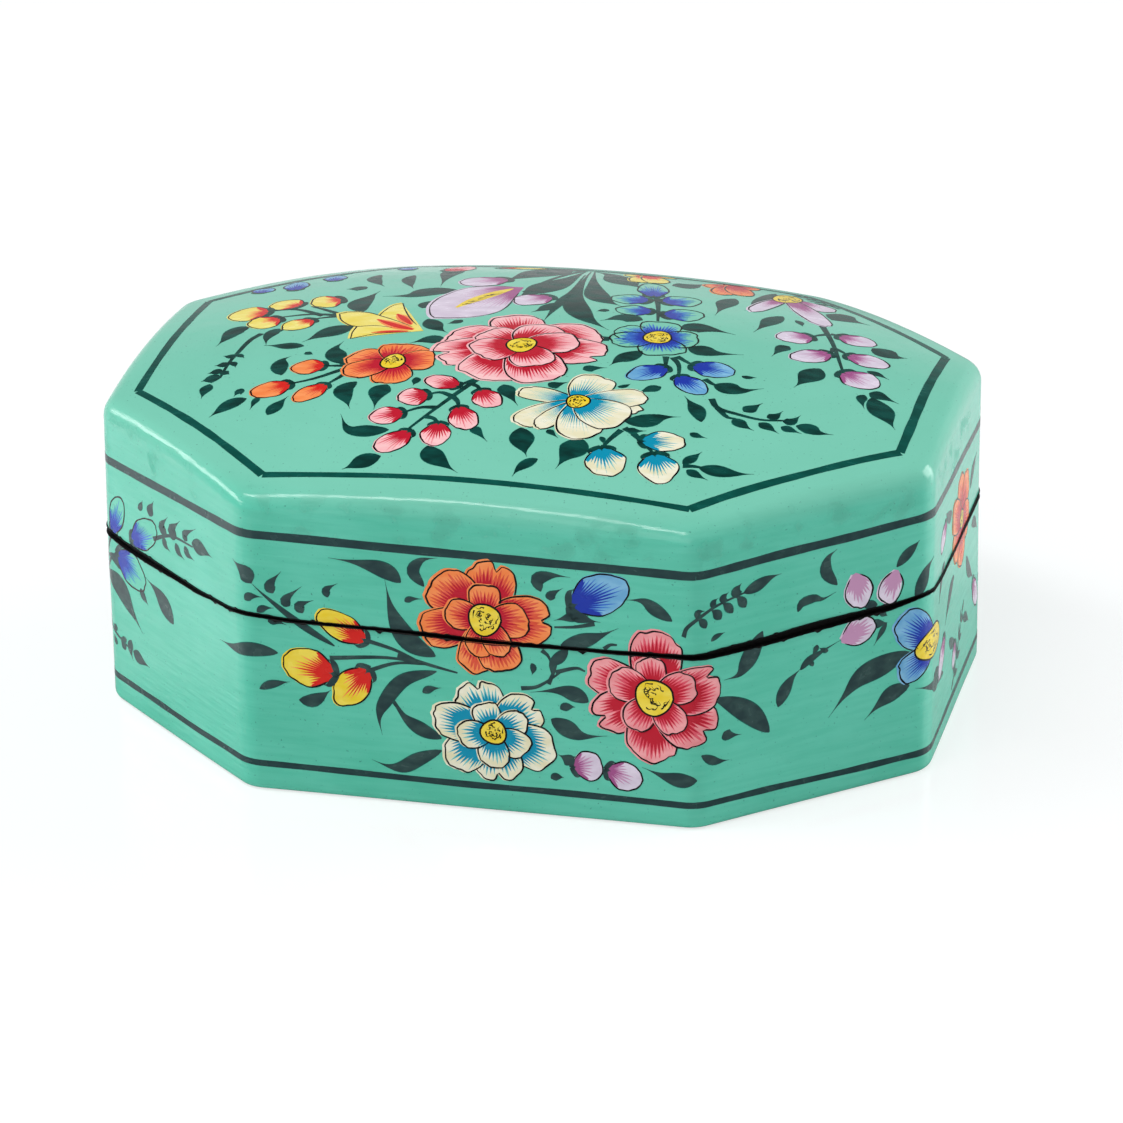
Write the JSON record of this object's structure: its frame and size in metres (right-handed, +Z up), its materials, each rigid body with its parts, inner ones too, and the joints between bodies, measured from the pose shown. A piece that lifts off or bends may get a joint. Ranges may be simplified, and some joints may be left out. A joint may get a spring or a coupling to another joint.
{
  "type": "octagonal papier mache box",
  "caption": "Octagonal papier mache trinket box with straight sides and a lift-off, gently domed lid that slips over an inner collar.",
  "frame": {"origin": "on the surface the box stands on, under the middle of the box", "axes": "+X along the box's length, +Y across it towards the back, +Z up, the way the lid lifts"},
  "size_m": [0.15, 0.114, 0.0661],
  "materials": {
    "paper_pulp": "moulded paper, painted black on its cut rims",
    "green_lacquer": "chalk ground with green paint, painted flowers and clear glossy lacquer",
    "black_lining": "thin paper painted black, satin"
  },
  "bodies": {
    "base": {"base_shell": "paper_pulp", "base_ground_coat": "green_lacquer", "base_lining": "black_lining", "collar": "black_lining"},
    "lid": {"lid_shell": "paper_pulp", "lid_ground_coat": "green_lacquer", "lid_lining": "black_lining"}
  },
  "joints": [
    {"name": "lid_lift", "type": "slide", "parent": "base", "child": "lid", "axis": [0, 0, 1], "range_m": [0, 0.07]}
  ]
}
